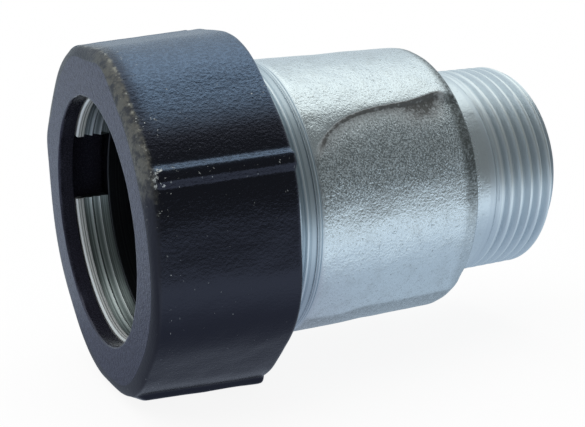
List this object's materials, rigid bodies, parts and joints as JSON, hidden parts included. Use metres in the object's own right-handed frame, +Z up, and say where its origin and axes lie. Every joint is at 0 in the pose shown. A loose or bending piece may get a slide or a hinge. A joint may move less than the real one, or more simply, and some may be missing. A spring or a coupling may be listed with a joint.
{
  "type": "pipe clamp coupling",
  "caption": "Compression coupling for plain steel pipe: ribbed union nut, split clamp ring, pressure ring and rubber seal on a cast body with a tapered male outlet thread.",
  "frame": {"origin": "on the pipe axis, at the front face of the union nut", "axes": "+X along the pipe axis from the nut to the outlet thread, +Z up, one flat of the nut at the bottom"},
  "size_m": [0.0876, 0.065, 0.065],
  "materials": {
    "zinc_plated_iron": "bright zinc plating over a fine cast skin, turned at the band and the threads",
    "dark_cast_iron": "dark phosphated casting skin, worn brown and bright at its edges",
    "bright_zinc_steel": "bright zinc plated, turned",
    "black_rubber": "matt moulded rubber"
  },
  "bodies": {
    "fitting": {"fitting_body": "zinc_plated_iron", "seal_ring": "black_rubber"},
    "grip": {"clamp_ring": "bright_zinc_steel", "pressure_ring": "bright_zinc_steel"},
    "nut": {"union_nut": "dark_cast_iron"}
  },
  "joints": [
    {"name": "grip_slide", "type": "slide", "parent": "fitting", "child": "grip", "axis": [1, 0, 0], "range_m": [-0.01001, 0.00301], "deforming": ["seal_ring"]},
    {"name": "nut_turn", "type": "hinge", "parent": "grip", "child": "nut", "pos_m": [0, 0, 0], "axis": [1, 0, 0], "range_deg": [-1800, 540]}
  ],
  "couplings": [
    {"joint": "grip_slide", "follows": "nut_turn", "m_per_rad": 0.00031831}
  ]
}
